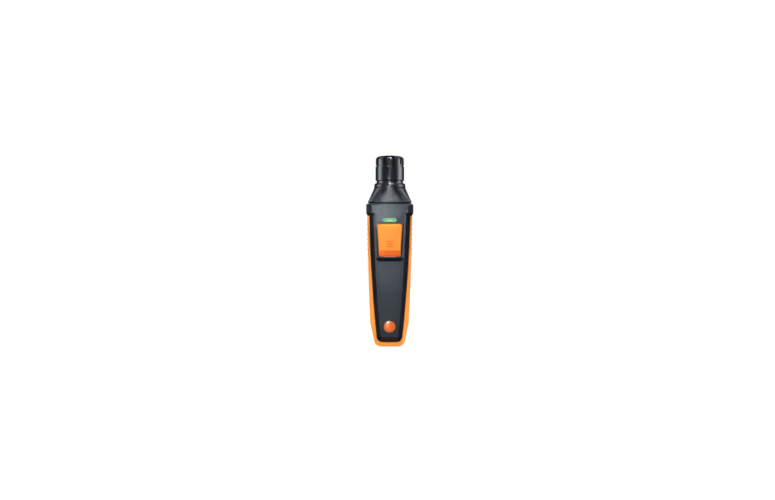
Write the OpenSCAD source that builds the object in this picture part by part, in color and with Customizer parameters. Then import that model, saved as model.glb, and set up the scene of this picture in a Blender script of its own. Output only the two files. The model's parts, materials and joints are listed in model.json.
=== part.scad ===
// Handheld air probe: a battery handle with one key, and a plug-in head with a gas sensor.
// Millimetres. It stands on its foot with +Z up and its front towards -Y, and x = 0, y = 0 is the axis of the head.

/* [Grip] */
// Height of the handle above the battery bay
head_room = 26.9; // [26.8:0.1:30]
// Width of the grip right under the collar
grip_w = 46.8; // [45:0.2:48]
// Width of the grip at the knee, where the sides turn in towards the foot
knee_w = 40.5; // [39:0.5:42]
// Height of the knee above the foot
knee_z = 25; // [20:1:30]
// Width that the turned-in sides would reach at the foot
toe_w = 30; // [28:0.5:32]
// Radius of the bottom corners of the grip
toe_r = 7.5; // [6:0.5:9]
// How far the long sides bow out of a straight line
side_bow = 0.5; // [0:0.1:1]
// Distance from the axis to the flat back of the grip
back_y = 17; // [16.6:0.1:18]
// Radius of the long edges of the back
back_r = 7; // [5:0.5:8]
// Rise of the foot at its back edge
heel_rise = 3; // [1:0.5:4]
// Wall of both shells
wall = 2.2; // [1.8:0.1:2.6]
// Number of grip ridges on each side
ridge_count = 7; // [3:1:8]
// Spacing of the grip ridges
ridge_pitch = 5.2; // [4:0.1:6]
// How far the ridges stand out of the side
ridge_proud = 0.4; // [0.2:0.1:0.8]

/* [Front shell] */
// Distance from the axis to the edge of the orange rim that frames the front shell
rim_y = 8; // [7.5:0.1:9]
// Width of the seam between the shells under the collar
seam_w = 42.6; // [42:0.2:44]
// Width that the seam would reach at its lower end
seam_toe_w = 25.6; // [24:0.2:27]
// Height of the lower end of the seam
seam_z = 4.7; // [4:0.1:6]
// Bow of the long sides of the seam
seam_bow = 1.4; // [1:0.1:2]
// Radius of the lower corners of the seam
seam_r = 6; // [5:0.5:7]
// Distance from the axis to the front face, at the height of the foot
face_foot_y = 14.8; // [14.4:0.1:15.6]
// Distance from the axis to the front face, under the collar
face_top_y = 18.2; // [17.6:0.1:18.6]
// Width of the slope beside the front face
side_slope = 4; // [3:0.5:5]
// Height of the slope below the front face
toe_slope = 5; // [4:0.5:6]

/* [Collar] */
// Width of the collar
collar_w = 49.2; // [49:0.2:52]
// Depth of the collar
collar_d = 40; // [39.6:0.2:42]
// Height of the collar, with both bevels
collar_h = 12.5; // [12:0.1:13.5]
// Corner radius of the collar
collar_r = 6; // [5:0.5:7]
// Height of the bevel below the collar
collar_bevel_h = 3; // [2:0.5:4]
// Depth of the bevel below the collar
collar_bevel = 1.3; // [1:0.1:1.6]
// Bevel round the top of the collar
collar_top_bevel = 1.4; // [1:0.1:1.8]

/* [Key panel] */
// Width of the raised panel under the collar
panel_w = 34.8; // [34.4:0.2:36]
// Width of the raised panel at its lower edge
panel_low_w = 29; // [28.6:0.2:30]
// Distance from the lower edge of the panel face up to the key
panel_sill = 1.2; // [1.1:0.1:2]
// Height of the slope under the panel
panel_slope = 3.8; // [3:0.1:4.5]
// Round of the long edges of the panel
panel_edge = 1.4; // [0.8:0.1:1.8]
// Thickness of the panel
panel_wall = 2; // [1.6:0.1:2.4]

/* [Key] */
// Width of the key at its top
key_w = 26.5; // [26:0.1:27.6]
// Width of the key at its bottom
key_low_w = 22.5; // [21.6:0.1:23]
// Height of the key
key_h = 34.3; // [33:0.1:35]
// Distance from the top of the collar down to the key
key_drop = 20.9; // [20.6:0.1:22]
// How far the key stands out of its panel
key_proud = 1.2; // [0.8:0.1:1.4]
// Width of the slopes at the sides and the top of the key
key_slope = 2; // [1.5:0.1:2.5]
// Height of the slope at the bottom of the key
key_low_slope = 6.6; // [4:0.2:8]
// Corner radius of the key
key_r = 2; // [1:0.2:3]
// Gap round the key
key_gap = 0.25; // [0.2:0.05:0.3]
// Travel of the key
key_travel = 0.6; // [0.3:0.1:0.8]

/* [Status light and badge] */
// Length of the status light
light_w = 14.9; // [12:0.1:16]
// Height of the status light
light_h = 4.3; // [3.5:0.1:4.6]
// Gap between the key and the status light
light_gap = 1.7; // [1.2:0.1:1.8]
// Diameter of the badge
badge_d = 12; // [10:0.2:14]
// Height of the middle of the badge
badge_z = 21; // [19:0.5:40]
// Depth of the round seat of the badge
badge_seat = 0.8; // [0.5:0.1:1.2]
// Height of the dome of the badge
badge_dome = 1.1; // [0.6:0.1:1.5]

/* [Batteries] */
// Diameter of one AA cell
cell_d = 14.5; // [14:0.1:14.6]
// Length of one AA cell with its positive tip
cell_l = 50.5; // [49.5:0.1:50.7]
// Distance between the middles of the two columns of cells
cell_pitch = 14.8; // [14.7:0.1:15]
// Distance from the axis to the middles of the cells
cell_y = 7.6; // [7.6:0.1:7.8]
// Length of a battery spring under the load of its cell
spring_l = 4.5; // [3.5:0.1:5]
// Height of the inner face of the lower wall of the tray
bay_z = 16; // [15.8:0.1:16.6]
// Wall of the battery tray
tray_wall = 1.6; // [1.4:0.1:1.8]
// Width of the battery tray
tray_w = 30.4; // [30.2:0.1:30.6]

/* [Battery door] */
// Distance that the battery door reaches below the battery bay
door_below = 2.4; // [2:0.1:2.8]
// Distance that the battery door reaches above the battery bay
door_above = 2.7; // [2:0.1:3]
// Width of the battery door at its top
door_w = 35; // [34:0.2:36]
// Width of the battery door at its bottom
door_low_w = 32; // [31.6:0.2:32.6]
// Gap round the battery door
door_gap = 0.3; // [0.25:0.05:0.4]
// Thickness of the battery door
door_wall = 1.8; // [1.6:0.1:2]
// Width of the ledge that the battery door closes on
door_ledge = 1; // [0.8:0.1:1.2]

/* [Boards] */
// Width of the main board
board_w = 24.4; // [23:0.2:24.8]
// Distance from the top of the collar down to the main board
board_drop = 14.4; // [14.4:0.2:16]
// Thickness of the main board
board_t = 1.6; // [1:0.2:1.6]
// Distance from the axis to the front of the main board
board_y = 7.6; // [7.4:0.1:7.8]
// Height of the lower edge of the main board
board_z = 23; // [22:0.5:24]
// Height of the lower board screw above the lower edge of the board
board_screw_low = 12; // [12:0.5:14]
// Distance from the lower edge of the key down to the upper board screw
board_screw_high = 6; // [5.5:0.1:8]
// Distance of the board screws from the middle
board_screw_x = 9; // [9:0.1:9.4]
// Height of the radio module
radio_h = 18; // [16:0.5:18]
// Distance from the middle of the key down to the radio module
radio_drop = 8.15; // [8:0.05:9]

/* [Fasteners] */
// Diameter of the screw posts in the shells
post_d = 6; // [5.6:0.2:6.4]
// Diameter of the case screws
screw_d = 2.5; // [2:0.1:2.8]
// Diameter of the heads of the case screws
screw_head_d = 4.6; // [4:0.1:4.8]
// Distance of the upper case screws from the middle
upper_post_x = 17; // [16.8:0.1:17.4]
// Distance from the top of the collar down to the upper case screws
upper_post_drop = 19; // [18.6:0.1:19.4]
// Distance of the lower case screws from the middle
lower_post_x = 8; // [7:0.5:8]
// Height of the lower case screws
lower_post_z = 9.4; // [9.2:0.1:9.6]

/* [Head housing] */
// Height of the tapered part of the head
cone_h = 15.3; // [14:0.1:18]
// Step in from the collar to the foot of the taper, all round
cone_step = 1.6; // [1.4:0.1:2]
// Corner radius at the foot of the taper
cone_r = 5.3; // [4:0.1:6]
// Height of the shadow groove between the collar and the head
groove_h = 1.4; // [0.8:0.1:1.6]
// Depth of the shadow groove
groove_d = 1.3; // [1:0.1:1.5]
// Diameter of the round top of the head housing
crown_d = 32.6; // [32:0.2:34]
// Height of the round top, with its rounded edge
crown_h = 5; // [4:0.1:7]
// Rounded edge of the round top
crown_r = 2.2; // [1.5:0.1:2.3]
// Wall of the head housing
head_wall = 2.2; // [1.8:0.1:2.4]

/* [Sensor barrel and cap] */
// Diameter of the barrel
barrel_d = 30; // [29.6:0.2:31]
// Height of the barrel above its chamfer
barrel_h = 14.6; // [14.6:0.2:18]
// Diameter of the neck under the barrel
neck_d = 27.8; // [27.6:0.1:28]
// Height of the neck under the barrel
neck_h = 2.3; // [1.5:0.1:3]
// Height of the chamfer between the neck and the barrel
barrel_chamfer = 0.7; // [0.4:0.1:1]
// Diameter of the tail of the barrel inside the head
tail_d = 26; // [25.6:0.1:26.4]
// Diameter of the cap
cap_d = 29.4; // [29.4:0.1:30.6]
// Height of the cap above its groove
cap_h = 10.6; // [9.8:0.1:12]
// Height of the groove between the barrel and the cap
cap_groove_h = 0.9; // [0.6:0.1:1.2]
// Width of the round shoulder of the cap
shoulder_w = 6; // [4:0.1:7]
// Height of the round shoulder of the cap
shoulder_h = 4.4; // [3.6:0.1:4.6]
// Rise of the closed middle of the cap over its shoulder
cap_dome = 0.5; // [0.2:0.1:0.6]
// Wall of the cap
cap_wall = 2.2; // [1.8:0.1:2.4]
// Number of air slots
slot_count = 10; // [6:1:12]
// Width of an air slot
slot_w = 2; // [1.2:0.1:2.4]
// Turn of the first slot from the front
slot_phase = 14; // [0:1:36]
// Height of the closed ring below the slots
slot_sill = 1; // [0.8:0.1:1.5]
// Diameter of the closed middle of the cap
slot_hub_d = 11; // [9:0.5:14]
// Diameter of the gas sensor
sensor_d = 20.4; // [18:0.2:20.6]
// Height of the gas sensor
sensor_h = 12.6; // [11:0.2:12.8]

/* [Plug connection] */
// Diameter of the plug of the head
plug_d = 16; // [15:0.2:17]
// Length of the plug below the head
plug_l = 8.2; // [7.5:0.1:8.4]
// Clearance round the plug in its socket
plug_gap = 0.3; // [0.3:0.05:0.5]
// Depth of the recess in the collar that the head sits in
recess_d = 2; // [1.6:0.1:2.2]
// Width of the recess in the collar
recess_w = 40.2; // [39.6:0.2:41]
// Clearance round the foot of the head in the recess
recess_gap = 0.3; // [0.3:0.05:0.4]
// Thickness of the deck of the socket
deck_t = 3.6; // [3:0.1:3.8]
// Number of contacts
contact_count = 5; // [4:1:6]
// Diameter of a contact pin
contact_d = 1; // [0.8:0.1:1.1]
// Diameter of the circle that the contacts stand on
contact_circle = 6.4; // [6:0.1:6.6]

/* [Hidden] */
$fn = 48;
eps = 0.01;
fit = 0.1;            // clearance between pieces that are fixed to each other
shell_fit = 0.3;      // open seam between the two shells
ledge = 1;            // step that the front shell is seated on
seam_depth = 1.5;     // depth of the seam down to that step
tongue = 2;           // length of the lips that overlap inside the shells
plate_t = 0.4;        // sheet of the battery contacts

bay_h = 2 * cell_l + spring_l + 2 * plate_t;
handle_h = bay_z + bay_h + head_room;
collar_z = handle_h - collar_h;
collar_front = collar_d / 2;
face_lean = (face_top_y - face_foot_y) / collar_z;
toe_turn = atan((knee_w - toe_w) / 2 / knee_z);
seam_turn = atan(((seam_w - seam_toe_w) / 2 + 4 * seam_bow) / (collar_z - seam_z));
split_y = -rim_y + seam_depth;
post_y = cell_y - cell_d / 2 - 0.25 - tray_wall;
key_z = handle_h - key_drop - key_h;
key_mid_z = key_z + key_h / 2;
panel_z = key_z - panel_sill;
light_z = key_z + key_h + light_gap + light_h / 2;
door_z = bay_z - door_below;
door_top_z = bay_z + bay_h + door_above;
upper_post_z = handle_h - upper_post_drop;
board_h = handle_h - board_drop - board_z;
board_back = -board_y + board_t;
radio_z = key_mid_z - radio_drop - radio_h;
switch_h = 3.5;
stem_y = -board_y - switch_h - 1.1;
key_back = -collar_front + panel_wall + fit;
flange_t = 1;

ledge_z = handle_h - recess_d - 0.2 - deck_t;
recess_depth = recess_w - (collar_w - collar_d);
head_z = handle_h;
foot_h = 4;
well_d = plug_d + 2 * plug_gap;
plug_z = head_z - recess_d - plug_l;
well_z = plug_z - 1;
cone_z = head_z + groove_h;
crown_z = cone_z + cone_h;
crown_top = crown_z + crown_h;
cone_w = collar_w - 2 * cone_step;
cone_d = collar_d - 2 * cone_step;
barrel_z = crown_top + neck_h + barrel_chamfer;
barrel_top = barrel_z + barrel_h;
cap_z = barrel_top + cap_groove_h;
cap_top = cap_z + cap_h;
tail_z = crown_z - 5.5;
shelf_z = crown_z - 3;
bore_d = barrel_d - 4.8;
tail_bore_d = tail_d - 4.8;
sensor_seat = barrel_z - 2;

// ---------------------------------------------------------------- outlines

// A value that runs straight between two ends, with a bow in the middle
function bowed(z, z0, x0, z1, x1, bow) =
    let (t = (z - z0) / (z1 - z0)) x0 + (x1 - x0) * t + 4 * bow * t * (1 - t);

// Mirrors the right half of an outline to the left
function whole(half) =
    concat(half, [for (i = [len(half) - 1:-1:0]) [-half[i].x, half[i].y]]);

// Lower corner of an outline whose side leans out by an angle from its foot at half_w, z0
function corner(half_w, z0, turn, r) =
    let (cx = half_w - r * (1 - sin(turn)) / cos(turn))
    [for (a = [0:7]) let (d = turn + (90 - turn) * a / 7) [cx + r * cos(d), z0 + r - r * sin(d)]];

// Radius that is left of a corner inside an inset
function left_r(r, side, low) = max(r - max(side, low), 0.8);

// Front view of the grip, inset at the sides and at the foot
function grip_outline(top_z, side, low) = whole(concat(
    [for (i = [0:12]) let (z = top_z + (knee_z - top_z) * i / 12)
        [bowed(z, knee_z, knee_w / 2, collar_z, grip_w / 2, side_bow) - side, z]],
    corner(toe_w / 2 + low * tan(toe_turn) - side, low, toe_turn, left_r(toe_r, side, low))));

// Front view of the seam, inset at the sides and at the lower end
function seam_outline(top_z, side, low) =
    let (r = left_r(seam_r, side, low), end_z = seam_z + low + r)
    whole(concat(
        [for (i = [0:12]) let (z = top_z + (end_z - top_z) * i / 12)
            [bowed(z, seam_z, seam_toe_w / 2, collar_z, seam_w / 2, seam_bow) - side, z]],
        corner(seam_toe_w / 2 + low * tan(seam_turn) - side, seam_z + low, seam_turn, r)));

// Rectangle with round corners, in the XY plane
function round_rect(w, d, r) =
    [for (q = [0:3], a = [0:6]) let (t = 90 * q + 15 * a,
        sx = (q == 0 || q == 3) ? 1 : -1, sy = (q < 2) ? 1 : -1)
        [sx * (w / 2 - r) + r * cos(t), sy * (d / 2 - r) + r * sin(t)]];

// Trapezoid with round corners: z0 to z1, low and top are its widths
function round_trapezoid(z0, z1, low, top, r) =
    let (turn = atan((top - low) / 2 / (z1 - z0)), n = 5,
        lx = low / 2 - r * (1 - sin(turn)) / cos(turn), ux = top / 2 - r * (1 + sin(turn)) / cos(turn))
    whole(concat(
        [for (a = [0:n]) let (d = 90 - (90 + turn) * a / n) [ux + r * cos(d), z1 - r + r * sin(d)]],
        [for (a = [0:n]) let (d = turn + (90 - turn) * a / n) [lx + r * cos(d), z0 + r - r * sin(d)]]));

// Plate with its outline in the XZ plane, from y0 to y1
module upright(y0, y1, outline) {
    translate([0, y1, 0]) rotate([90, 0, 0]) linear_extrude(y1 - y0) polygon(outline);
}

// Thin slice of a hull, with a front that leans by a slope
module slice(y, outline, lean = 0) {
    multmatrix([[1, 0, 0, 0], [0, 1, -lean, 0], [0, 0, 1, 0], [0, 0, 0, 1]])
        upright(y, y + eps, outline);
}

module plan(z0, z1, outline) {
    translate([0, 0, z0]) linear_extrude(z1 - z0) polygon(outline);
}

// Cylinder that runs from y0 to y1
module rod_y(x, z, y0, y1, d) {
    translate([x, y1, z]) rotate([90, 0, 0]) cylinder(d = d, h = y1 - y0);
}

module tube(z0, z1, d) {
    translate([0, 0, z0]) cylinder(d = d, h = z1 - z0);
}

module ring(z0, z1, outer_d, inner_d) {
    difference() {
        tube(z0, z1, outer_d);
        tube(z0 - 1, z1 + 1, inner_d);
    }
}

// Box by its middle in x, and by its ends in y and z
module block(x, w, y0, y1, z0, z1) {
    translate([x - w / 2, y0, z0]) cube([w, y1 - y0, z1 - z0]);
}

// Places its children at each case screw
module at_posts() {
    for (s = [-1, 1]) {
        translate([s * upper_post_x, 0, upper_post_z]) children();
        translate([s * lower_post_x, 0, lower_post_z]) children();
    }
}

// Places its children at each board screw
module at_board_screws() {
    translate([-board_screw_x, 0, board_z + board_screw_low]) children();
    translate([board_screw_x, 0, key_z - board_screw_high]) children();
}

// ---------------------------------------------------------------- shells

// Outer form of the grip, with its rounded back, inset by a wall
module grip_form(inset, y0, top_z) {
    hull() {
        upright(y0, back_y - back_r, grip_outline(top_z, inset, inset));
        for (a = [18:18:90])
            slice(back_y - inset - (back_r - inset) * (1 - sin(a)) - eps,
                grip_outline(top_z, inset + (back_r - inset) * (1 - cos(a)),
                    inset + heel_rise * (1 - cos(a))));
    }
}

// Plan of the lips that join the rear shell to the collar
function lip_plan(inset) =
    let (x = grip_w / 2 - inset, y = back_y - inset, r = back_r - inset)
    concat([[x, split_y + tongue + fit]],
        [for (a = [0:9:90]) [x - r + r * cos(a), y - r + r * sin(a)]],
        [for (a = [90:9:180]) [-x + r + r * cos(a), y - r + r * sin(a)]],
        [[-x, split_y + tongue + fit]]);

module collar_form() {
    w = collar_w;
    d = collar_d;
    hull() {
        plan(collar_z, collar_z + eps,
            round_rect(w - 2 * collar_bevel, d - 2 * collar_bevel, collar_r - collar_bevel));
        plan(collar_z + collar_bevel_h, handle_h - collar_top_bevel, round_rect(w, d, collar_r));
        plan(handle_h - eps, handle_h, round_rect(w - 2 * collar_top_bevel,
            d - 2 * collar_top_bevel, collar_r - collar_top_bevel));
    }
}

// Dark front of the grip, with its slopes
module face_form(inset, y1, top_z) {
    hull() {
        upright(-rim_y - eps, y1, seam_outline(top_z, inset, inset));
        slice(-face_foot_y + inset + 0.6, seam_outline(top_z, inset + side_slope - 0.5,
            inset + toe_slope - 0.6), face_lean);
        slice(-face_foot_y + inset, seam_outline(top_z, inset + side_slope + 0.2,
            inset + toe_slope + 0.1), face_lean);
    }
}

module panel_form() {
    top_z = handle_h - collar_top_bevel - 1;
    low = -collar_front + 4;
    hull() {
        slice(low, round_trapezoid(panel_z - panel_slope * 4 / 3, top_z, panel_low_w - 2, panel_w, 5));
        slice(-collar_front + panel_edge, round_trapezoid(panel_z - panel_slope / 2, top_z,
            panel_low_w, panel_w, 2));
        slice(-collar_front, round_trapezoid(panel_z, top_z,
            panel_low_w - 2 * panel_edge, panel_w - 2 * panel_edge, 1));
    }
}

module front_shell() {
    pocket_top = light_z + light_h / 2 + 1.5;
    hole = 2 * key_gap;
    color([0.22, 0.24, 0.27]) difference() {
        union() {
            difference() {
                union() {
                    collar_form();
                    face_form(0, split_y, collar_z + 2);
                    panel_form();
                    upright(split_y - 1, split_y + tongue, seam_outline(collar_z + 1,
                        ledge + fit, ledge + fit));
                }
                face_form(wall, split_y + tongue + 1, collar_z + 1);
                // Room for the key and the light behind the panel
                upright(-collar_front + panel_wall, -face_foot_y + 2, round_trapezoid(
                    key_z - 1.4, pocket_top, key_low_w + 2.8, panel_w - 2 * panel_wall - 0.4, 1));
                // Opening of the collar, with the recess for the head above it
                plan(collar_z - 1, ledge_z, round_rect(recess_w - 3, recess_depth - 3, 2));
                plan(ledge_z, handle_h + 1, round_rect(recess_w, recess_depth, 4));
                plan(collar_z - 1, collar_z + tongue + fit, lip_plan(wall / 2));
            }
            // Posts for the case screws and the board
            intersection() {
                face_form(0.8, split_y + tongue + 8, collar_z + 1);
                union() {
                    at_posts() rod_y(0, 0, -face_top_y, post_y, post_d);
                    at_board_screws() rod_y(0, 0, -face_top_y, -board_y, 5);
                }
            }
        }
        at_posts() rod_y(0, 0, -face_foot_y + 2.6, post_y + 1, screw_d + fit);
        at_board_screws() rod_y(0, 0, -board_y - 4, -board_y + 1, 2.1);
        // Openings for the key and the light
        upright(-collar_front - 2, -collar_front + 4, round_trapezoid(key_z - key_gap,
            key_z + key_h + key_gap, key_low_w + hole, key_w + hole, key_r));
        upright(-collar_front - 2, -collar_front + 4, light_outline(fit));
        // Round seat of the badge
        on_face(badge_z) tube(-badge_seat, 5, badge_d + 0.4);
    }
}

// Places its children on the leaning front face, with +Z out of it
module on_face(z) {
    translate([0, -face_foot_y - face_lean * z, z]) rotate([90 + atan(face_lean), 0, 0]) children();
}

// Outline of the door, or of its opening when grow is the gap
function door_outline(grow) = round_trapezoid(door_z - grow, door_top_z + grow,
    door_low_w + 2 * grow, door_w + 2 * grow, 3 + grow);

module rear_shell() {
    ridge_r = 1.4;
    ridge_top = upper_post_z - 2.4;
    color([0.95, 0.55, 0.2]) difference() {
        union() {
            difference() {
                union() {
                    grip_form(0, -rim_y, collar_z);
                    for (s = [-1, 1], i = [0:ridge_count - 1]) {
                        z = ridge_top - i * ridge_pitch;
                        x = bowed(z, knee_z, knee_w / 2, collar_z, grip_w / 2, side_bow);
                        rod_y(s * (x - ridge_r + ridge_proud), z, -rim_y + 1, back_y - back_r, 2 * ridge_r);
                    }
                }
                grip_form(wall, split_y + tongue, collar_z + 1);
                upright(-rim_y - 1, split_y, seam_outline(collar_z + 1, -shell_fit, -shell_fit));
                upright(split_y - 1, split_y + tongue + 1, seam_outline(collar_z + 1, ledge, ledge));
            }
            // Lip that reaches up into the collar
            difference() {
                plan(collar_z - 3, collar_z + tongue, lip_plan(wall / 2 + fit));
                plan(collar_z - 4, collar_z + tongue + 1, lip_plan(wall + fit));
            }
            // Frame that the battery door closes on
            intersection() {
                grip_form(door_wall + fit, 0, collar_z - 1);
                difference() {
                    upright(cell_y + 3, back_y, door_outline(door_gap + 1.4));
                    upright(cell_y, back_y + 1, door_outline(-door_ledge));
                }
            }
            intersection() {
                grip_form(0.5, 0, collar_z - 1);
                at_posts() rod_y(0, 0, post_y + tray_wall, back_y, post_d);
            }
        }
        upright(back_y - back_r, back_y + 1, door_outline(door_gap));
        at_posts() {
            rod_y(0, 0, post_y, back_y + 1, screw_d + 0.4);
            rod_y(0, 0, cell_y, back_y + 1, screw_head_d + 0.4);
        }
    }
}

module battery_door() {
    rib_z = door_top_z - 5;
    color([0.95, 0.55, 0.2]) difference() {
        union() {
            intersection() {
                difference() {
                    grip_form(0, 0, collar_z);
                    grip_form(door_wall, -1, collar_z + 1);
                }
                upright(cell_y, back_y + 1, door_outline(0));
            }
            // Finger ribs at the upper end
            for (i = [0:3]) translate([-7, back_y - 0.2, rib_z - 2.2 * i]) rotate([0, 90, 0])
                cylinder(d = 1.2, h = 14, $fn = 24);
        }
    }
}

// ---------------------------------------------------------------- front details

// Long hexagon of the status light
function light_outline(grow) =
    let (x = light_w / 2 + grow, z = light_h / 2 + grow, tip = light_h / 3)
    [[x, light_z], [x - tip, light_z + z], [-x + tip, light_z + z],
        [-x, light_z], [-x + tip, light_z - z], [x - tip, light_z - z]];

module light_pipe() {
    back = -collar_front + panel_wall;
    color([0.35, 0.75, 0.42]) {
        upright(-collar_front - 0.2, back + 0.8, light_outline(0));
        for (s = [-1, 1])
            block(s * (light_w / 2 - 0.4), 3, back, back + 0.8, light_z - 1.6, light_z + 1.6);
        block(0, 5, back + 0.7, -board_y - 1.3, light_z - 1.4, light_z + 1.4);
    }
}

module badge() {
    rim_h = 0.5;
    color([0.93, 0.5, 0.15]) on_face(badge_z) translate([0, 0, -badge_seat]) rotate_extrude()
        polygon(concat([[0, 0], [badge_d / 2, 0]],
            [for (a = [0:10:90]) [badge_d / 2 * cos(a), badge_seat - 0.3 + rim_h + (badge_dome - rim_h) * sin(a)]]));
}

module key_cap() {
    front = -collar_front - key_proud;
    color([0.95, 0.6, 0.25]) {
        hull() {
            upright(-collar_front + 0.2, key_back, round_trapezoid(key_z, key_z + key_h,
                key_low_w, key_w, key_r));
            upright(front, front + eps, round_trapezoid(key_z + key_low_slope, key_z + key_h - key_slope,
                key_low_w + 0.8 - 2 * key_slope, key_w - 2 * key_slope, key_r - 1));
        }
        // Flange that keeps the key in the panel
        upright(key_back - eps, key_back + flange_t, round_trapezoid(key_z - 0.6, key_z + key_h + 0.6,
            key_low_w + 1.2, key_w + 1.2, key_r));
        rod_y(0, key_mid_z, key_back, stem_y, 5);
        // Three plain ribs for the finger
        for (i = [-1:1])
            translate([-3.6, front + 0.15, key_z + 13 + 2.5 * i]) rotate([0, 90, 0])
                cylinder(d = 0.9, h = 7.2, $fn = 24);
    }
}

module switch_plunger() {
    color([0.1, 0.1, 0.1]) rod_y(0, key_mid_z, stem_y, -board_y - switch_h + 0.3, 3);
}

// ---------------------------------------------------------------- boards

module main_board() {
    color([0.1, 0.35, 0.2]) difference() {
        block(0, board_w, -board_y, board_back, board_z, board_z + board_h);
        at_board_screws() rod_y(0, 0, -board_y - 1, board_back + 1, 2.4);
    }
}

module board_parts() {
    color([0.12, 0.12, 0.13]) {
        block(0, 9, -board_y - 1.4, -board_y, board_z + 30, board_z + 39);
        block(-6, 5, -board_y - 1.1, -board_y, radio_z - 14, radio_z - 8);
        block(6, 6, -board_y - 1.1, -board_y, radio_z - 12, radio_z - 8);
        for (i = [0:4]) block(-8 + 4 * i, 1.2, -board_y - 0.8, -board_y, board_z + 24, board_z + 26);
        rod_y(-5, board_z + 8, -board_y - 4, -board_y, 6);
        rod_y(5, board_z + 8, -board_y - 4, -board_y, 6);
        block(0, 11, board_back, board_back + 1.8, board_z + board_h - 9, board_z + board_h - 3);
    }
}

module radio_module() {
    color([0.75, 0.76, 0.78]) {
        block(0, 12, -board_y - 0.8, -board_y, radio_z, radio_z + radio_h);
        block(0, 10.5, -board_y - 2.4, -board_y - 0.8, radio_z + 1, radio_z + radio_h - 5);
    }
}

module status_led() {
    color([0.9, 0.92, 0.85]) block(0, 3.2, -board_y - 1.2, -board_y, light_z - 1, light_z + 1);
}

module switch_body() {
    color([0.2, 0.2, 0.2]) difference() {
        block(0, 6, -board_y - switch_h, -board_y, key_mid_z - 3, key_mid_z + 3);
        rod_y(0, key_mid_z, -board_y - switch_h - 1, -board_y - switch_h + 1.6, 3.3);
    }
}

module board_screws() {
    color([0.7, 0.7, 0.7]) at_board_screws() {
        rod_y(0, 0, board_back, board_back + 1.4, 4);
        rod_y(0, 0, -board_y - 3, board_back + 0.1, 2);
    }
}

module case_screws() {
    tip = -face_foot_y + 3.4;
    color([0.7, 0.7, 0.7]) at_posts() difference() {
        union() {
            rod_y(0, 0, cell_y, cell_y + 2, screw_head_d);
            rod_y(0, 0, tip, cell_y + 1, screw_d);
        }
        rod_y(0, 0, cell_y + 0.8, cell_y + 3, 2, $fn = 6);
    }
}

// ---------------------------------------------------------------- battery bay

module battery_tray() {
    back = post_y + tray_wall;
    top = bay_z + bay_h;
    color([0.15, 0.16, 0.18]) difference() {
        union() {
            block(0, tray_w, post_y, back, bay_z - tray_wall, top + tray_wall);
            block(0, 2 * upper_post_x + post_d, post_y, back, upper_post_z - post_d / 2, upper_post_z + post_d / 2);
            block(0, tray_w, post_y, back, top, upper_post_z);
            block(0, 2 * lower_post_x + post_d, post_y, back, lower_post_z - post_d / 2, bay_z);
            // End walls, side walls and the ridge between the columns
            block(0, tray_w, post_y, cell_y + 5, bay_z - tray_wall, bay_z);
            block(0, tray_w, post_y, cell_y + 5, top, top + tray_wall);
            for (s = [-1, 1])
                block(s * (tray_w / 2 - 0.5), 1, post_y, back + 3.4, bay_z, top);
            block(0, 1.6, post_y, back + 2.6, bay_z + 1, top - 1);
        }
        at_posts() rod_y(0, 0, post_y - 1, back + 1, screw_d + 0.4);
    }
}

// One AA cell standing on z, with its positive tip up or down
module cell(x, z, up) {
    tip_h = 1;
    can_z = up ? z : z + tip_h;
    color([0.25, 0.27, 0.3]) translate([x, cell_y, 0]) {
        tube(can_z, can_z + cell_l - tip_h, cell_d);
        tube(up ? z + cell_l - tip_h - eps : z, up ? z + cell_l : z + tip_h + eps, 5.5);
    }
}

left_z = bay_z + plate_t + spring_l;
right_z = bay_z + plate_t;
module battery_1() { cell(-cell_pitch / 2, left_z, true); }
module battery_2() { cell(-cell_pitch / 2, left_z + cell_l, true); }
module battery_3() { cell(cell_pitch / 2, right_z, false); }
module battery_4() { cell(cell_pitch / 2, right_z + cell_l, false); }

// Cone spring swept along its helix: turns, wire and end radii
module cone_spring(r0, r1, h, turns, wire) {
    steps = 16 * turns;
    sides = 6;
    points = [for (i = [0:steps], k = [0:sides - 1])
        let (t = i / steps, a = 360 * turns * t, r = r0 + (r1 - r0) * t, b = 360 * k / sides,
            q = r + wire / 2 * cos(b))
        [q * cos(a), q * sin(a), wire / 2 + (h - wire) * t + wire / 2 * sin(b)]];
    faces = concat([[for (k = [0:sides - 1]) k]],
        [[for (k = [sides - 1:-1:0]) steps * sides + k]],
        [for (i = [0:steps - 1], k = [0:sides - 1])
            [i * sides + k, (i + 1) * sides + k, (i + 1) * sides + (k + 1) % sides]],
        [for (i = [0:steps - 1], k = [0:sides - 1])
            [i * sides + k, (i + 1) * sides + (k + 1) % sides, i * sides + (k + 1) % sides]]);
    polyhedron(points, faces);
}

module battery_springs() {
    color([0.8, 0.8, 0.78]) {
        translate([-cell_pitch / 2, cell_y, bay_z + plate_t]) cone_spring(5, 2.4, spring_l, 3, 0.7);
        translate([cell_pitch / 2, cell_y, bay_z + bay_h - plate_t]) rotate([180, 0, 0])
            cone_spring(5, 2.4, spring_l, 3, 0.7);
    }
}

module battery_contacts() {
    w = cell_pitch - 3;
    low = cell_y - 6;
    color([0.8, 0.8, 0.78]) {
        block(0, cell_pitch + w, low, cell_y + 4.6, bay_z, bay_z + plate_t);
        for (s = [-1, 1])
            block(s * cell_pitch / 2, w, low, cell_y + 4.6, bay_z + bay_h - plate_t, bay_z + bay_h);
    }
}

// ---------------------------------------------------------------- socket in the collar

function contact_at(i) =
    let (a = 360 * i / contact_count, r = contact_circle / 2) [r * cos(a), r * sin(a), 0];

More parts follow.
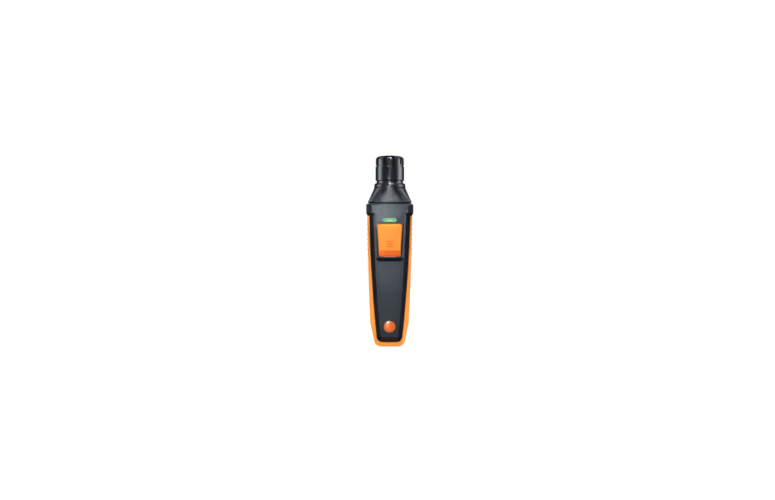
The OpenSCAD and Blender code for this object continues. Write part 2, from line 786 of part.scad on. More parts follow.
module head_socket() {
    top = ledge_z + deck_t;
    color([0.12, 0.13, 0.14]) difference() {
        union() {
            plan(ledge_z, top, round_rect(recess_w - 2 * fit, recess_depth - 2 * fit, 3.9));
            tube(well_z - 2, top - 1, well_d + 3.2);
        }
        tube(well_z, top + 1, well_d);
        for (s = [-1, 1]) translate([s * head_post_x, 0, 0]) tube(top - 1, top + 1, 6);
        for (i = [0:contact_count - 1]) translate(contact_at(i))
            tube(well_z - 3, well_z + 1, contact_d + 2 * fit);
    }
}

module socket_pins() {
    color([0.85, 0.7, 0.35]) for (i = [0:contact_count - 1]) translate(contact_at(i)) {
        tube(well_z - 2.4, plug_z + plug_l - 4, contact_d);
        tube(well_z - 2.6, well_z - 2, contact_d + 0.4);
    }
}

module socket_lead() {
    color([0.75, 0.5, 0.25]) block(0, 8, board_back + 1.8, board_back + 2.1,
        board_z + board_h - 8, well_z - 2);
}

// ---------------------------------------------------------------- head

head_post_x = 16;

// Blend from the rounded rectangle at the foot to the round top
module cone_form(inset, z0, z1) {
    hull() {
        plan(z0, z0 + eps, round_rect(cone_w - 2 * inset, cone_d - 2 * inset, cone_r - inset));
        translate([0, 0, z1 - eps])
            cylinder(d = (crown_d + 0.04) / cos(180 / 72) - 2 * inset, h = eps, $fn = 72);
    }
}

module head_housing() {
    color([0.22, 0.24, 0.27]) difference() {
        union() {
            plan(head_z, cone_z + 0.5, round_rect(cone_w - 2 * groove_d, cone_d - 2 * groove_d,
                cone_r - groove_d));
            cone_form(0, cone_z, crown_z);
            rotate_extrude() polygon(concat([[0, crown_z - 1], [crown_d / 2 - 1, crown_z - 1], [crown_d / 2, crown_z]],
                [for (a = [0:10:90]) [crown_d / 2 - crown_r + crown_r * cos(a),
                    crown_top - crown_r + crown_r * sin(a)]],
                [[0, crown_top]]));
        }
        plan(head_z - 1, head_z + foot_h - recess_d, round_rect(recess_w - 2 * recess_gap + 2 * fit,
            recess_depth - 2 * recess_gap + 2 * fit, 3.7));
        difference() {
            cone_form(head_wall, head_z + 1, crown_z + 1);
            tube(shelf_z, crown_z + 2, crown_d);
            for (s = [-1, 1]) translate([s * head_post_x, 0, 0]) tube(head_z + foot_h - recess_d, tail_z - 0.5, 5.4);
        }
        for (s = [-1, 1]) translate([s * head_post_x, 0, 0]) tube(head_z, head_z + 6, 2.1);
        tube(shelf_z - 1, crown_top + 1, tail_d + 2 * fit);
    }
}

module head_foot() {
    z = head_z - recess_d;
    color([0.12, 0.13, 0.14]) difference() {
        plan(z, z + foot_h, round_rect(recess_w - 2 * recess_gap, recess_depth - 2 * recess_gap, 3.6));
        tube(z - 1, z + foot_h + 1, plug_d + 2 * fit);
        tube(z + foot_h - 1.4, z + foot_h + 1, plug_d + 3);
        for (s = [-1, 1]) translate([s * head_post_x, 0, 0]) {
            tube(z - 1, z + foot_h + 1, 2.4);
            tube(z - 1, z + 1.8, 4.4);
        }
    }
}

module head_screws() {
    z = head_z - recess_d;
    color([0.7, 0.7, 0.7]) for (s = [-1, 1]) translate([s * head_post_x, 0, 0]) {
        tube(z + 0.4, z + 1.8, 4);
        tube(z + 1.7, z + foot_h + 3, 2);
    }
}

module head_plug() {
    top = head_z - recess_d + foot_h;
    color([0.1, 0.1, 0.11]) difference() {
        union() {
            tube(plug_z, top, plug_d);
            tube(top - 1.4, top, plug_d + 2.8);
        }
        for (i = [0:contact_count - 1]) translate(contact_at(i))
            tube(plug_z - 1, top - 3, contact_d + 1.2);
    }
}

module plug_contacts() {
    top = head_z - recess_d + foot_h;
    color([0.85, 0.7, 0.35]) for (i = [0:contact_count - 1]) translate(contact_at(i))
        ring(plug_z + 0.3, top - 3, contact_d + 1, contact_d + 0.4);
}

module sensor_barrel() {
    r = barrel_d / 2;
    groove_z = crown_z + 1.4;
    color([0.22, 0.24, 0.27]) difference() {
        rotate_extrude() polygon([
            [tail_bore_d / 2, tail_z], [tail_d / 2, tail_z],
            [tail_d / 2, groove_z], [tail_d / 2 - 1.5, groove_z],
            [tail_d / 2 - 1.5, groove_z + 1.7], [tail_d / 2, groove_z + 1.7],
            [tail_d / 2, crown_top], [neck_d / 2, crown_top],
            [neck_d / 2, crown_top + neck_h], [r, barrel_z],
            [r, barrel_top - 0.3], [r - 0.3, barrel_top], [bore_d / 2, barrel_top],
            [bore_d / 2, sensor_seat], [tail_bore_d / 2, sensor_seat]]);
    }
}

module barrel_seal() {
    color([0.08, 0.08, 0.08]) translate([0, 0, crown_z + 1.4 + 0.85]) rotate_extrude()
        translate([tail_d / 2 - 0.7, 0]) circle(r = 0.75, $fn = 24);
}

module barrel_nut() {
    color([0.3, 0.31, 0.33]) difference() {
        tube(tail_z, shelf_z, tail_d + 2.2);
        tube(tail_z - 1, shelf_z + 1, tail_d + 2 * fit);
        for (a = [0:90:270]) rotate(a) block(tail_d / 2 + 1, 1.6, -1, 1, tail_z - 1, tail_z + 1);
    }
}

module sensor_board() {
    color([0.1, 0.35, 0.2]) tube(sensor_seat, sensor_seat + 1.6, bore_d - 0.4);
}

module sensor_pins() {
    color([0.85, 0.7, 0.35]) for (a = [90:120:330]) translate([7 * cos(a), 7 * sin(a), 0])
        tube(sensor_seat + 1.6, sensor_seat + 2.6, 1.5);
}

module gas_sensor() {
    z = sensor_seat + 2.6;
    color([0.85, 0.86, 0.86]) difference() {
        union() {
            tube(z, z + sensor_h - 1, sensor_d);
            tube(z + sensor_h - 1 - eps, z + sensor_h, sensor_d - 3);
        }
        tube(z + sensor_h - 0.6, z + sensor_h + 1, 4);
    }
}

module sensor_collar() {
    z = sensor_seat + 4;
    color([0.15, 0.15, 0.16]) ring(z, z + 5, bore_d - 2 * fit, sensor_d + 2 * fit);
}

module sensor_lead() {
    color([0.75, 0.5, 0.25]) block(0, 6, 2.8, 3.1, head_z - recess_d + foot_h, sensor_seat);
}

// Profile of the cap, solid, inset by a wall
function cap_profile(inset) =
    let (r = cap_d / 2, rx = shoulder_w, rz = shoulder_h)
    concat([[0, cap_z], [r - inset, cap_z]],
        [for (a = [0:7.5:90]) [r - rx + (rx - inset) * cos(a), cap_top - rz + (rz - cap_dome - inset) * sin(a)]],
        [[slot_hub_d / 2 - 1.5, cap_top - inset], [0, cap_top - inset]]);

module sensor_cap() {
    thread_d = bore_d - 2 * fit;
    color([0.2, 0.22, 0.25]) difference() {
        union() {
            rotate_extrude() polygon(cap_profile(0));
            tube(barrel_top, cap_z + eps, cap_d - 1.4);
            tube(barrel_top - 3, barrel_top + eps, thread_d);
        }
        difference() {
            rotate_extrude() polygon(cap_profile(cap_wall));
            tube(cap_z - 1, cap_z + slot_sill - 0.4, cap_d);
        }
        tube(barrel_top - 4, cap_z + cap_wall, thread_d - 2.4);
        for (i = [0:slot_count - 1]) rotate(-90 + slot_phase + 360 * i / slot_count) {
            translate([slot_hub_d / 2, 0, cap_z + slot_sill + slot_w / 2]) rotate([0, 90, 0])
                cylinder(d = slot_w, h = cap_d / 2);
            translate([slot_hub_d / 2, -slot_w / 2, cap_z + slot_sill + slot_w / 2])
                cube([cap_d / 2, slot_w, cap_h]);
        }
    }
}

// Fine screen behind the slots, closed at the top
module dust_screen() {
    seat = cap_z + slot_sill - 0.4;
    outer = cap_wall + 0.15;
    color([0.06, 0.06, 0.07]) rotate_extrude() difference() {
        polygon(cap_profile(outer));
        polygon(cap_profile(outer + 0.6));
        square([cap_d, seat]);
    }
}

front_shell();
rear_shell();
light_pipe();
badge();
main_board();
board_parts();
radio_module();
status_led();
switch_body();
board_screws();
head_socket();
socket_pins();
socket_lead();
battery_tray();
battery_1();
battery_2();
battery_3();
battery_4();
battery_springs();
battery_contacts();
case_screws();
key_cap();
switch_plunger();
battery_door();
head_housing();
head_foot();
head_screws();
head_plug();
plug_contacts();
sensor_barrel();
barrel_seal();
barrel_nut();
sensor_board();
sensor_pins();
gas_sensor();
sensor_collar();
sensor_lead();
dust_screen();
sensor_cap();
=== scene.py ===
# Handheld weather meter, a one-hand air probe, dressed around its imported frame.
import json
import math

import bmesh
import bpy
from mathutils import Matrix, Vector


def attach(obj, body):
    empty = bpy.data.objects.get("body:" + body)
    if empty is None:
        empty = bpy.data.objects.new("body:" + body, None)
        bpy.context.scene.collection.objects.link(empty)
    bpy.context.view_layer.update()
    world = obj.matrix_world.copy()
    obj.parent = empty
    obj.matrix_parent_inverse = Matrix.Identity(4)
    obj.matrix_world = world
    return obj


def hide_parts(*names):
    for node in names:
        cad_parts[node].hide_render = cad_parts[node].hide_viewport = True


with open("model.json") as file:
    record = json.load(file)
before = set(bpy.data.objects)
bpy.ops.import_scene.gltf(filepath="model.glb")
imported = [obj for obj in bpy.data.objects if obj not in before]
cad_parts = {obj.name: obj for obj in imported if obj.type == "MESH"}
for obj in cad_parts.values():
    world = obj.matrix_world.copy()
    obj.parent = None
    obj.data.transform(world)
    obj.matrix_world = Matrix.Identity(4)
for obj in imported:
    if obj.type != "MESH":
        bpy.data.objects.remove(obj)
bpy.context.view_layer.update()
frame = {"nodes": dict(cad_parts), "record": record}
mm = 0.001
bodyOf = {node: body for body, nodes in frame["record"]["behaviour"]["bodies"].items() for node in nodes}
slotOf = {part["node"]: part["material_slot"] for part in frame["record"]["subparts"]}
print("frame loaded:", len(frame["nodes"]), "nodes")


def toLinear(red, green, blue):
    # screen colour 0..255 to the linear colour that a shader takes
    def channel(v):
        v = v / 255
        return v / 12.92 if v <= 0.04045 else ((v + 0.055) / 1.055) ** 2.4
    return (channel(red), channel(green), channel(blue), 1.0)


def shade(colour, factor):
    return tuple(min(1.0, c * factor) for c in colour[:3]) + (1.0,)


class Nodes:
    # short way to add and join shader nodes
    def __init__(self, name):
        self.material = bpy.data.materials.new(name)
        self.material.use_nodes = True
        self.tree = self.material.node_tree
        self.shader = self.tree.nodes["Principled BSDF"]
        self.output = self.tree.nodes["Material Output"]
        self.place = self.add("ShaderNodeTexCoord").outputs["Object"]

    def add(self, kind, **values):
        node = self.tree.nodes.new(kind)
        for key, value in values.items():
            setattr(node, key, value)
        return node

    def join(self, source, target):
        self.tree.links.new(source, target)

    def paint(self, source):
        self.join(source, self.shader.inputs["Base Color"])

    def relief(self, source):
        self.join(source, self.shader.inputs["Normal"])

    def noise(self, scale, detail=3.0, rough=0.5, stretch=(1, 1, 1)):
        node = self.add("ShaderNodeTexNoise")
        node.inputs["Scale"].default_value = scale
        node.inputs["Detail"].default_value = detail
        node.inputs["Roughness"].default_value = rough
        mapping = self.add("ShaderNodeMapping")
        mapping.inputs["Scale"].default_value = stretch
        self.join(self.place, mapping.inputs["Vector"])
        self.join(mapping.outputs["Vector"], node.inputs["Vector"])
        return node.outputs["Fac"]

    def spread(self, source, low, high, fromLow=0.3, fromHigh=0.7):
        node = self.add("ShaderNodeMapRange")
        node.inputs["From Min"].default_value = fromLow
        node.inputs["From Max"].default_value = fromHigh
        node.inputs["To Min"].default_value = low
        node.inputs["To Max"].default_value = high
        self.join(source, node.inputs["Value"])
        return node.outputs["Result"]

    def blend(self, source, colourA, colourB):
        node = self.add("ShaderNodeMix", data_type="RGBA")
        self.join(source, node.inputs["Factor"])
        node.inputs["A"].default_value = colourA
        node.inputs["B"].default_value = colourB
        return node.outputs["Result"]

    def bump(self, height, strength, distance, under=None):
        node = self.add("ShaderNodeBump")
        node.inputs["Strength"].default_value = strength
        node.inputs["Distance"].default_value = distance
        self.join(height, node.inputs["Height"])
        if under:
            self.join(under, node.inputs["Normal"])
        return node.outputs["Normal"]

    def fixed(self, **values):
        for key, value in values.items():
            self.shader.inputs[key.replace("_", " ")].default_value = value


mould = {
    "cloudDetail": 2.0, "grainDetail": 2.0, "grainRough": 0.6,
    "smoother": 0.04, "rougher": 0.05,      # how far the roughness wanders to either side
    "flow": 0.25, "flowDepth": 0.04 * mm,
    "grainDepth": 0.03 * mm,
    "coatRough": 0.25,
}


def mouldedPlastic(name, colour, look):
    # fine spark-eroded grain over a slow unevenness of colour and of the surface
    n = Nodes(name)
    cloud = n.noise(look["cloud"], mould["cloudDetail"])
    darker, brighter = shade(colour, 1 - look["uneven"]), shade(colour, 1 + look["uneven"])
    n.paint(n.blend(n.spread(cloud, 0, 1), darker, brighter))
    speck = n.noise(look["grain"], mould["grainDetail"], mould["grainRough"])
    rough = n.spread(speck, look["rough"] - mould["smoother"], look["rough"] + mould["rougher"])
    n.join(rough, n.shader.inputs["Roughness"])
    flow = n.bump(cloud, mould["flow"], mould["flowDepth"])
    n.relief(n.bump(speck, look["depth"], mould["grainDepth"], flow))
    n.fixed(Specular_IOR_Level=look.get("specular", 0.5), Coat_Weight=look.get("coat", 0.0),
            Coat_Roughness=mould["coatRough"], Specular_Tint=(*look.get("tint", (1, 1, 1)), 1))
    return n.material


brush = {"scale": 900.0, "ragged": 0.6, "dark": 0.8, "bright": 1.12, "smoother": 0.08, "rougher": 0.1,
         "relief": 0.3, "depth": 0.02 * mm}


def brushedMetal(name, colour, rough, along):
    n = Nodes(name)
    lines = n.noise(brush["scale"], rough=brush["ragged"], stretch=along)
    n.paint(n.blend(n.spread(lines, 0, 1), shade(colour, brush["dark"]), shade(colour, brush["bright"])))
    n.join(n.spread(lines, rough - brush["smoother"], rough + brush["rougher"]), n.shader.inputs["Roughness"])
    n.relief(n.bump(lines, brush["relief"], brush["depth"]))
    n.fixed(Metallic=1.0)
    return n.material


dark = {"shell": toLinear(11, 15, 24), "head": toLinear(12, 15, 22), "inner": toLinear(30, 31, 34),
        "component": toLinear(22, 22, 24), "rubber": toLinear(20, 20, 21)}
# the key's deeper orange is painted shade on its lower slope and the print colour of its ribs
orange = {"shell": toLinear(246, 152, 58), "key": toLinear(236, 138, 42), "keyPaintedShadeAndPrint": toLinear(222, 94, 12),
          "badge": toLinear(204, 92, 6)}
pale = {"led": toLinear(225, 226, 205), "sensor": toLinear(205, 206, 204), "lens": toLinear(128, 150, 132)}
metal = {"shield": (0.72, 0.72, 0.7, 1), "spring": (0.66, 0.64, 0.6, 1), "screw": (0.55, 0.55, 0.56, 1),
         "gold": (0.83, 0.6, 0.26, 1)}
satin = {"cloud": 60.0, "uneven": 0.05, "grain": 2600.0, "rough": 0.42, "depth": 0.3, "specular": 0.36,
         "tint": (0.8, 0.89, 1.0)}
smooth = {"cloud": 40.0, "uneven": 0.03, "grain": 1800.0, "rough": 0.33, "depth": 0.1, "specular": 0.6,
          "tint": (0.9, 0.95, 1.0)}
matt = {"cloud": 90.0, "uneven": 0.08, "grain": 2200.0, "rough": 0.6, "depth": 0.4}
rubbery = {"cloud": 50.0, "uneven": 0.04, "grain": 2400.0, "rough": 0.55, "depth": 0.3, "specular": 0.25}
lacquer = {**smooth, "rough": 0.12, "coat": 1.0, "depth": 0.0}
unlitLens = {**smooth, "specular": 0.1, "tint": (1, 1, 1)}
softRubber = {**matt, "rough": 0.75}

finishes = {
    "dark_shell": mouldedPlastic("darkShell", dark["shell"], satin),
    "head_plastic": mouldedPlastic("headPlastic", dark["head"], smooth),
    "inner_plastic": mouldedPlastic("innerPlastic", dark["inner"], matt),
    "component": mouldedPlastic("component", dark["component"], matt),
    "orange_shell": mouldedPlastic("orangeShell", orange["shell"], rubbery),
    "orange_door": mouldedPlastic("orangeDoor", orange["shell"], rubbery),
    "orange_key": mouldedPlastic("orangeKey", orange["key"], rubbery),
    "badge": mouldedPlastic("badgeLacquer", orange["badge"], lacquer),
    "led": mouldedPlastic("ledPackage", pale["led"], smooth),
    "sensor_body": mouldedPlastic("sensorBody", pale["sensor"], matt),
    "seal_rubber": mouldedPlastic("sealRubber", dark["rubber"], softRubber),
    "shield_can": brushedMetal("shieldCan", metal["shield"], 0.32, (1, 1, 0.05)),
    "spring_steel": brushedMetal("springSteel", metal["spring"], 0.28, (1, 1, 0.1)),
    "screw_steel": brushedMetal("screwSteel", metal["screw"], 0.3, (0.2, 1, 1)),
    "contact_gold": brushedMetal("contactGold", metal["gold"], 0.22, (1, 1, 0.1)),
}
print("materials made:", len(finishes))


board = {"laminate": toLinear(22, 96, 58), "laminateToo": toLinear(26, 104, 62),
         "track": toLinear(46, 132, 78), "scale": 260.0, "trackWidth": 0.04,
         "relief": 0.2, "depth": 0.03 * mm, "rough": 0.3}


def circuitBoard():
    n = Nodes("circuitBoard")
    tracks = n.add("ShaderNodeTexBrick")
    tracks.inputs["Scale"].default_value = board["scale"]
    tracks.inputs["Mortar Size"].default_value = board["trackWidth"]
    tracks.inputs["Color1"].default_value = board["laminate"]
    tracks.inputs["Color2"].default_value = board["laminateToo"]
    tracks.inputs["Mortar"].default_value = board["track"]
    turn = n.add("ShaderNodeMapping")
    turn.inputs["Rotation"].default_value = (math.radians(90), 0, 0)
    n.join(n.place, turn.inputs["Vector"])
    n.join(turn.outputs["Vector"], tracks.inputs["Vector"])
    n.paint(tracks.outputs["Color"])
    n.relief(n.bump(tracks.outputs["Fac"], board["relief"], board["depth"]))
    n.fixed(Roughness=board["rough"])
    return n.material


cell = {"jacket": toLinear(40, 42, 46), "jacketToo": toLinear(48, 50, 55), "speck": 500.0,
        "rough": (0.25, 0.35), "metallic": 0.3, "coat": 0.6, "coatRough": 0.1}


def cellJacket():
    # plain dark wrap under a clear coat
    n = Nodes("cellJacket")
    speck = n.noise(cell["speck"], detail=2.0)
    n.paint(n.blend(n.spread(speck, 0, 1), cell["jacket"], cell["jacketToo"]))
    n.join(n.spread(speck, *cell["rough"]), n.shader.inputs["Roughness"])
    n.fixed(Metallic=cell["metallic"], Coat_Weight=cell["coat"], Coat_Roughness=cell["coatRough"])
    return n.material


ribbon = {"film": toLinear(150, 92, 30), "tracks": toLinear(196, 132, 54), "scale": 320.0, "rough": 0.25}


def flexLead():
    n = Nodes("flexLead")
    wave = n.add("ShaderNodeTexWave", bands_direction="X")
    wave.inputs["Scale"].default_value = ribbon["scale"]
    n.join(n.place, wave.inputs["Vector"])
    n.paint(n.blend(wave.outputs["Fac"], ribbon["film"], ribbon["tracks"]))
    n.fixed(Roughness=ribbon["rough"])
    return n.material


screen = {"wire": toLinear(30, 31, 34), "gap": toLinear(8, 8, 10), "scale": 1600.0, "wireShare": 0.2,
          "relief": 0.6, "depth": 0.1 * mm, "rough": 0.55, "metallic": 0.4}


def fineScreen():
    n = Nodes("fineScreen")
    grid = n.add("ShaderNodeTexVoronoi", feature="DISTANCE_TO_EDGE")
    grid.inputs["Scale"].default_value = screen["scale"]
    n.join(n.place, grid.inputs["Vector"])
    away = n.spread(grid.outputs["Distance"], 0, 1, 0.0, screen["wireShare"])
    n.paint(n.blend(away, screen["wire"], screen["gap"]))
    n.relief(n.bump(grid.outputs["Distance"], screen["relief"], screen["depth"]))
    n.fixed(Roughness=screen["rough"], Metallic=screen["metallic"])
    return n.material


diffuser = {"green": toLinear(74, 122, 82), "greenToo": toLinear(80, 130, 88), "glow": toLinear(96, 190, 108),
            "glowStrength": 0.02, "speck": 700.0, "rough": 0.45, "specular": 0.1}


def statusLens():
    # green diffuser with a very weak glow of its own
    n = Nodes("statusLens")
    speck = n.noise(diffuser["speck"], detail=2.0)
    n.paint(n.blend(n.spread(speck, 0, 1), diffuser["green"], diffuser["greenToo"]))
    n.fixed(Roughness=diffuser["rough"], Specular_IOR_Level=diffuser["specular"],
            Emission_Color=diffuser["glow"], Emission_Strength=diffuser["glowStrength"])
    return n.material


finishes["circuit_board"] = circuitBoard()
finishes["cell_jacket"] = cellJacket()
finishes["flex_lead"] = flexLead()
finishes["screen_mesh"] = fineScreen()
finishes["status_lens"] = statusLens()
lensPale = mouldedPlastic("lensPale", pale["lens"], unlitLens)


def dress(thing, finish):
    thing.data.materials.clear()
    thing.data.materials.append(finish)


for nodeName, thing in frame["nodes"].items():
    dress(thing, finishes[slotOf[nodeName]])
print("nodes dressed")


def finishPiece(name, bm, body, finish, replaced=(), sharp=35.0):
    # a bmesh in metres becomes a smooth piece that rides on a body
    mesh = bpy.data.meshes.new(name)
    bm.to_mesh(mesh)
    bm.free()
    for face in mesh.polygons:
        face.use_smooth = True
    mesh.set_sharp_from_angle(angle=math.radians(sharp))
    piece = bpy.data.objects.new(name, mesh)
    bpy.context.scene.collection.objects.link(piece)
    dress(piece, finish)
    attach(piece, body)
    if replaced:
        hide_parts(*replaced)
    return piece


def softEdges(piece, width, angle):
    # rounded edges, with the shading of the flats kept flat
    bevel = piece.modifiers.new("edge", "BEVEL")
    bevel.width = width
    bevel.segments = 2
    bevel.limit_method = "ANGLE"
    bevel.angle_limit = math.radians(angle)
    bevel.use_clamp_overlap = True
    bevel.harden_normals = False
    level = piece.modifiers.new("level", "WEIGHTED_NORMAL")
    level.mode = "FACE_AREA"
    level.weight = 100
    level.keep_sharp = True


collarCorner = {
    "z": (136.4, 149.3),
    "x": 18.6, "y": 14.0,      # where the round corner has its middle
    "radius": 5.99,
    "shallow": 28.0,           # how far the flat leans back
    "reach": 3.1,
    "round": 6.5,              # nothing stands further out than this
    "inside": 3.5,             # points nearer than this stay where they are
}


def facetCollar(bm):
    # the collar's corners are flats that lean back a little, and not round
    c = collarCorner
    tiny, least = 0.01, 0.001      # nearer than tiny is no corner, and least keeps the divisions safe
    slant = Vector((-math.cos(math.radians(c["shallow"])), math.sin(math.radians(c["shallow"]))))
    for vert in bm.verts:
        x, y, z = vert.co / mm
        u, v = abs(x) - c["x"], abs(y) - c["y"]
        reach = math.hypot(u, v)
        if not c["z"][0] < z < c["z"][1] or u < tiny or v < tiny or reach < c["inside"]:
            continue
        direction = Vector((u, v)) / reach
        side = c["radius"] / max(direction.x, least)
        front = c["radius"] / max(direction.y, least)
        # where the ray meets the line of the flat
        across = direction.x * slant.y - direction.y * slant.x
        flat = (c["radius"] * slant.y - c["reach"] * slant.x) / across
        reach *= min(side, front, flat, c["round"]) / c["radius"]
        vert.co.x = math.copysign(c["x"] + direction.x * reach, x) * mm
        vert.co.y = math.copysign(c["y"] + direction.y * reach, y) * mm


barrelGroove = {"z": (188.4, 189.5), "radius": 14.0, "deep": 13.0, "tolerance": 0.1}


def undercutGroove(bm):
    # the barrel draws in under the cap's edge
    g = barrelGroove
    for vert in bm.verts:
        x, y, z = vert.co / mm
        reach = math.hypot(x, y)
        onEdge = abs(reach - g["radius"]) < g["tolerance"]
        if g["z"][0] < z < g["z"][1] and onEdge and z < sum(g["z"]) / 2:
            vert.co.x *= g["deep"] / reach
            vert.co.y *= g["deep"] / reach


flank = {
    "x": 7.0,                    # the sides begin this far out
    "low": 136.6,                # below the collar
    "turned": 0.3,               # how far a face looks outwards
    "ridge": (-18.55, 92.0),     # faces in front of this and above it belong to the raised panel
    "y": -12.0, "collar": 140.0, "under": -0.3,      # the undersides at the front
    # a copy of the shell plastic, matt and with almost no reflection, used as painted shade
    "finish": mouldedPlastic("flankPaintedShade", dark["shell"], {**satin, "rough": 0.7, "specular": 0.06}),
}


def paintedShadeOnFlanks(piece):
    # painted shade: the side slopes and the undersides, by the way they face, take a matt copy of the shell
    # plastic that reflects almost nothing
    piece.data.materials.append(flank["finish"])
    for face in piece.data.polygons:
        x, y, z = face.center / mm
        outward = face.normal.x * math.copysign(1, x)
        onRidge = y < flank["ridge"][0] and z > flank["ridge"][1]
        beside = abs(x) > flank["x"] and z < flank["low"] and outward > flank["turned"] and not onRidge
        beneath = y < flank["y"] and z < flank["collar"] and face.normal.z < flank["under"]
        if beside or beneath:
            face.material_index = 1


# node: width of its soft edges, angle from which an edge counts as one, and a change of shape
refined = {
    "front_shell": (0.25, 22.0, facetCollar),
    "rear_shell": (0.3, 30.0, None),
    "battery_door": (0.3, 30.0, None),
    "sensor_cap": (0.15, 30.0, None),
    "sensor_barrel": (0.15, 30.0, undercutGroove),
}
cleaning = {"merge": 0.002 * mm, "flat": 0.15}      # closer points are merged, flatter faces are joined


def refine(node, width, angle, change):
    # a merged copy of the node, with its flat faces joined and its edges softened
    bm = bmesh.new()
    bm.from_mesh(frame["nodes"][node].data)
    bmesh.ops.remove_doubles(bm, verts=bm.verts, dist=cleaning["merge"])
    if change:
        change(bm)
    flat = math.radians(cleaning["flat"])
    bmesh.ops.dissolve_limit(bm, angle_limit=flat, verts=bm.verts, edges=bm.edges)
    slot = slotOf[node]
    piece = finishPiece(node + "_fine", bm, bodyOf[node], finishes[slot], [node], angle)
    # the front shell's side slopes and undersides get painted shade
    if node == "front_shell":
        paintedShadeOnFlanks(piece)
    softEdges(piece, width * mm, angle)


for node, settings in refined.items():
    refine(node, *settings)
print("refined:", len(refined))


def inOrder(bm, points):
    # points, edges and faces stand in the same order on every run
    for number, vert in enumerate(points):
        vert.index = number

    def rank(part):
        numbers = [vert.index for vert in part.verts]
        return min(numbers) * len(points) + max(numbers)

    bm.verts.sort()
    bm.edges.sort(key=rank)
    bm.faces.sort(key=rank)


def lofted(rings, closed=False):
    # a ring of points, extruded and moved from ring to ring; closed joins the last ring to the first
    bm = bmesh.new()
    bmesh.ops.create_circle(bm, segments=len(rings[0]), radius=1.0)
    bm.verts.ensure_lookup_table()
    loop = list(bm.verts)

    def place(points):
        for vert, point in zip(loop, points):
            vert.co = Vector(point) * mm

    def edgesOf(verts):
        ring = set(verts)
        return [e for e in {e for v in verts for e in v.link_edges} if set(e.verts) <= ring]

    place(rings[0])
    firstEdges = edgesOf(loop)
    ordered = list(loop)
    for points in rings[1:]:
        made = bmesh.ops.extrude_edge_only(bm, edges=edgesOf(loop))["geom"]
        fresh = {g for g in made if isinstance(g, bmesh.types.BMVert)}
        loop = [next(e.other_vert(v) for e in v.link_edges if e.other_vert(v) in fresh) for v in loop]
        place(points)
        ordered += loop
    if closed:
        bmesh.ops.bridge_loops(bm, edges=firstEdges + edgesOf(loop))
    else:
        for edges in (firstEdges, edgesOf(loop)):
            bmesh.ops.contextual_create(bm, geom=edges)
    bmesh.ops.recalc_face_normals(bm, faces=bm.faces)
    inOrder(bm, ordered)
    return bm


def boxReach(width, depth, radius, turn):
    # distance from the middle to a rectangle with round corners, in the direction of turn
    c, s = abs(math.cos(turn)), abs(math.sin(turn))
    if c > 0 and width / 2 / c * s <= depth / 2 - radius:
        return width / 2 / c
    if s > 0 and depth / 2 / s * c <= width / 2 - radius:
        return depth / 2 / s
    x, y = width / 2 - radius, depth / 2 - radius
    along = c * x + s * y
    return along + math.sqrt(max(0.0, along * along - (x * x + y * y - radius * radius)))


def turns(count):
    return [2 * math.pi * i / count for i in range(count)]


housing = {
    "segments": 144,
    # height, width, depth and corner radius of each outline
    "foot": (149.2, 40.8, 31.6, 3.8),
    "undercut": (149.7, 43.4, 34.2, 4.0),
    "base": (150.6, 46.0, 36.8, 5.3),
    "cavity": (151.2, 39.8, 30.6, 3.7),
    "edge": 0.3,
    "softness": 0.55,          # 0: corners round off as they rise, 1: straight lines from base to crown
    "crownFoot": 165.9, "crown": 16.3,
    "top": 170.9, "fillet": 2.2,
    "blend": 1.6, "blendRise": 0.7,
    "hole": 13.1, "shelf": 162.9,
    "wall": 2.2,
    "taperSteps": 8, "blendSteps": 4, "filletSteps": 8,
}


def headHousing():
    h = housing
    around = turns(h["segments"])
    base = h["base"]
    low, high = base[0] + h["edge"], h["crownFoot"]

    def box(z, width, depth, radius, grow=0.0):
        return [(boxReach(width + 2 * grow, depth + 2 * grow, radius + grow, t), z) for t in around]

    def ring(reaches):
        return [(r * math.cos(t), r * math.sin(t), z) for (r, z), t in zip(reaches, around)]

    def circle(radius, z):
        return ring([(radius, z)] * len(around))

    def taper(z):
        # the base outline turns into the crown's circle, straight in the side view
        over = max(0.0, z - (high - h["blend"]))
        share = (z - low) / (high - low) - over * over / (4 * h["blend"] * (high - low))
        ends = zip(base[1:], (2 * h["crown"], 2 * h["crown"], h["crown"]))
        sharp = box(z, *(start + (end - start) * share for start, end in ends))
        mixed = []
        for (a, _), (b, _) in zip(sharp, box(z, *base[1:])):
            b += (h["crown"] - b) * share
            mixed.append((a * (1 - h["softness"]) + b * h["softness"], z))
        return ring(mixed)

    # up the outside
    rings = [ring(box(*h["foot"])), ring(box(*h["undercut"])), ring(box(*base, -h["edge"])),
             ring(box(low, *base[1:]))]
    blendFoot = high - h["blend"]
    for i in range(1, h["taperSteps"] + 1):
        rings.append(taper(low + (blendFoot - low) * i / h["taperSteps"]))
    for i in range(1, h["blendSteps"] + 1):
        rings.append(taper(blendFoot + h["blend"] * i / h["blendSteps"]))
    rings.append(circle(h["crown"], high + h["blend"] * h["blendRise"]))
    centre = h["top"] - h["fillet"]
    for i in range(h["filletSteps"] + 1):
        a = math.radians(90 * i / h["filletSteps"])
        rings.append(circle(h["crown"] - h["fillet"] * (1 - math.cos(a)), centre + h["fillet"] * math.sin(a)))
    # down the hole and the hollow inside
    rings += [circle(h["hole"], h["top"]), circle(h["hole"], h["shelf"])]
    rings.append(circle(h["crown"] - h["wall"], h["shelf"]))
    inner = (base[1] - 2 * h["wall"], base[2] - 2 * h["wall"], base[3] - h["wall"])
    rings += [ring(box(h["cavity"][0], *inner)), ring(box(*h["cavity"]))]
    rings.append(ring(box(h["foot"][0], *h["cavity"][1:])))
    slot = "head_plastic"
    finishPiece("headHousing", lofted(rings, closed=True), "head", finishes[slot], ["head_housing"])


headHousing()
print("head housing made")


